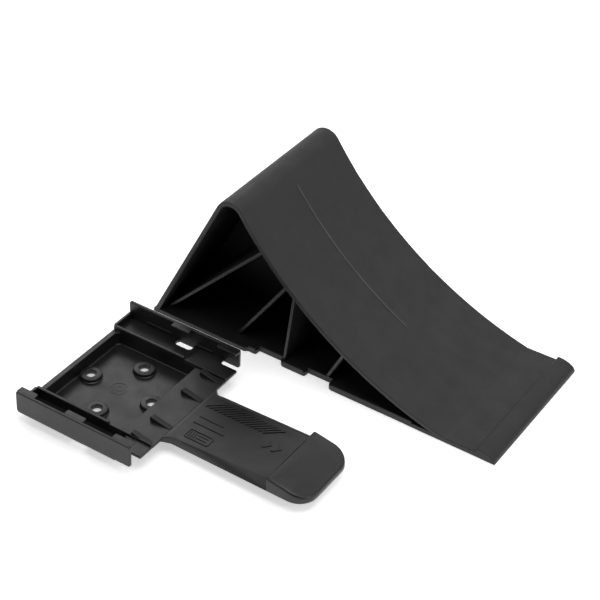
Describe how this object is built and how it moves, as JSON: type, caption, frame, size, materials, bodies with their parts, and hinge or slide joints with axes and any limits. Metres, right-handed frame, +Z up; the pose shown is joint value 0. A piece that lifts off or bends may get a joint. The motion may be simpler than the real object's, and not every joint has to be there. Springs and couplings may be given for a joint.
{
  "type": "wheel chock with holder",
  "caption": "Moulded wheel chock with a curved tread, ribbed open sides and a notched base, beside its screw-down holder with lipped guide walls and a springy latch tongue.",
  "frame": {"origin": "middle of the set's footprint, on the surface that both mouldings stand on", "axes": "+X from the chock's heel to its toe and along the latch tongue, +Y from the holder to the chock, +Z up"},
  "size_m": [0.35, 0.336, 0.15],
  "materials": {
    "chock_plastic": "matte moulded polyolefin, near black, fine grain",
    "holder_plastic": "satin moulded polyolefin, near black"
  },
  "bodies": {
    "holder": {"holder_far_guide_lips": "holder_plastic", "holder_far_guide_wall": "holder_plastic", "holder_far_ledge": "holder_plastic", "holder_far_wall_ribs": "holder_plastic", "holder_near_guide_lips": "holder_plastic", "holder_near_guide_wall": "holder_plastic", "holder_near_ledge": "holder_plastic", "holder_near_wall_ribs": "holder_plastic", "holder_root_plate": "holder_plastic", "holder_screw_bosses": "holder_plastic", "holder_support_wedges": "holder_plastic", "holder_tray_far_wall": "holder_plastic", "holder_tray_floor": "holder_plastic", "holder_tray_left_wall": "holder_plastic", "holder_tray_near_wall": "holder_plastic", "holder_tray_right_wall": "holder_plastic"},
    "latch_tongue": {"latch_far_skirt": "holder_plastic", "latch_leaf": "holder_plastic", "latch_near_skirt": "holder_plastic", "latch_thumb_pad": "holder_plastic"},
    "chock": {"chock_back_wall": "chock_plastic", "chock_base": "chock_plastic", "chock_crest": "chock_plastic", "chock_far_edge_bead": "chock_plastic", "chock_far_heel_rib": "chock_plastic", "chock_far_middle_rib": "chock_plastic", "chock_far_toe_rib": "chock_plastic", "chock_far_upright_rib": "chock_plastic", "chock_near_edge_bead": "chock_plastic", "chock_near_heel_rib": "chock_plastic", "chock_near_middle_rib": "chock_plastic", "chock_near_toe_rib": "chock_plastic", "chock_near_upright_rib": "chock_plastic", "chock_toe": "chock_plastic", "chock_tread": "chock_plastic", "chock_web": "chock_plastic"}
  },
  "joints": [
    {"name": "latch_press", "type": "hinge", "parent": "holder", "child": "latch_tongue", "pos_m": [-0.05385, -0.0905, 0.0147], "axis": [0, 1, 0], "range_deg": [0, 4.2], "stiffness_Nm_per_rad": 40},
    {"name": "chock_lift", "type": "slide", "parent": "holder", "child": "chock", "axis": [0, 0, 1], "range_m": [0, 0.25]}
  ]
}
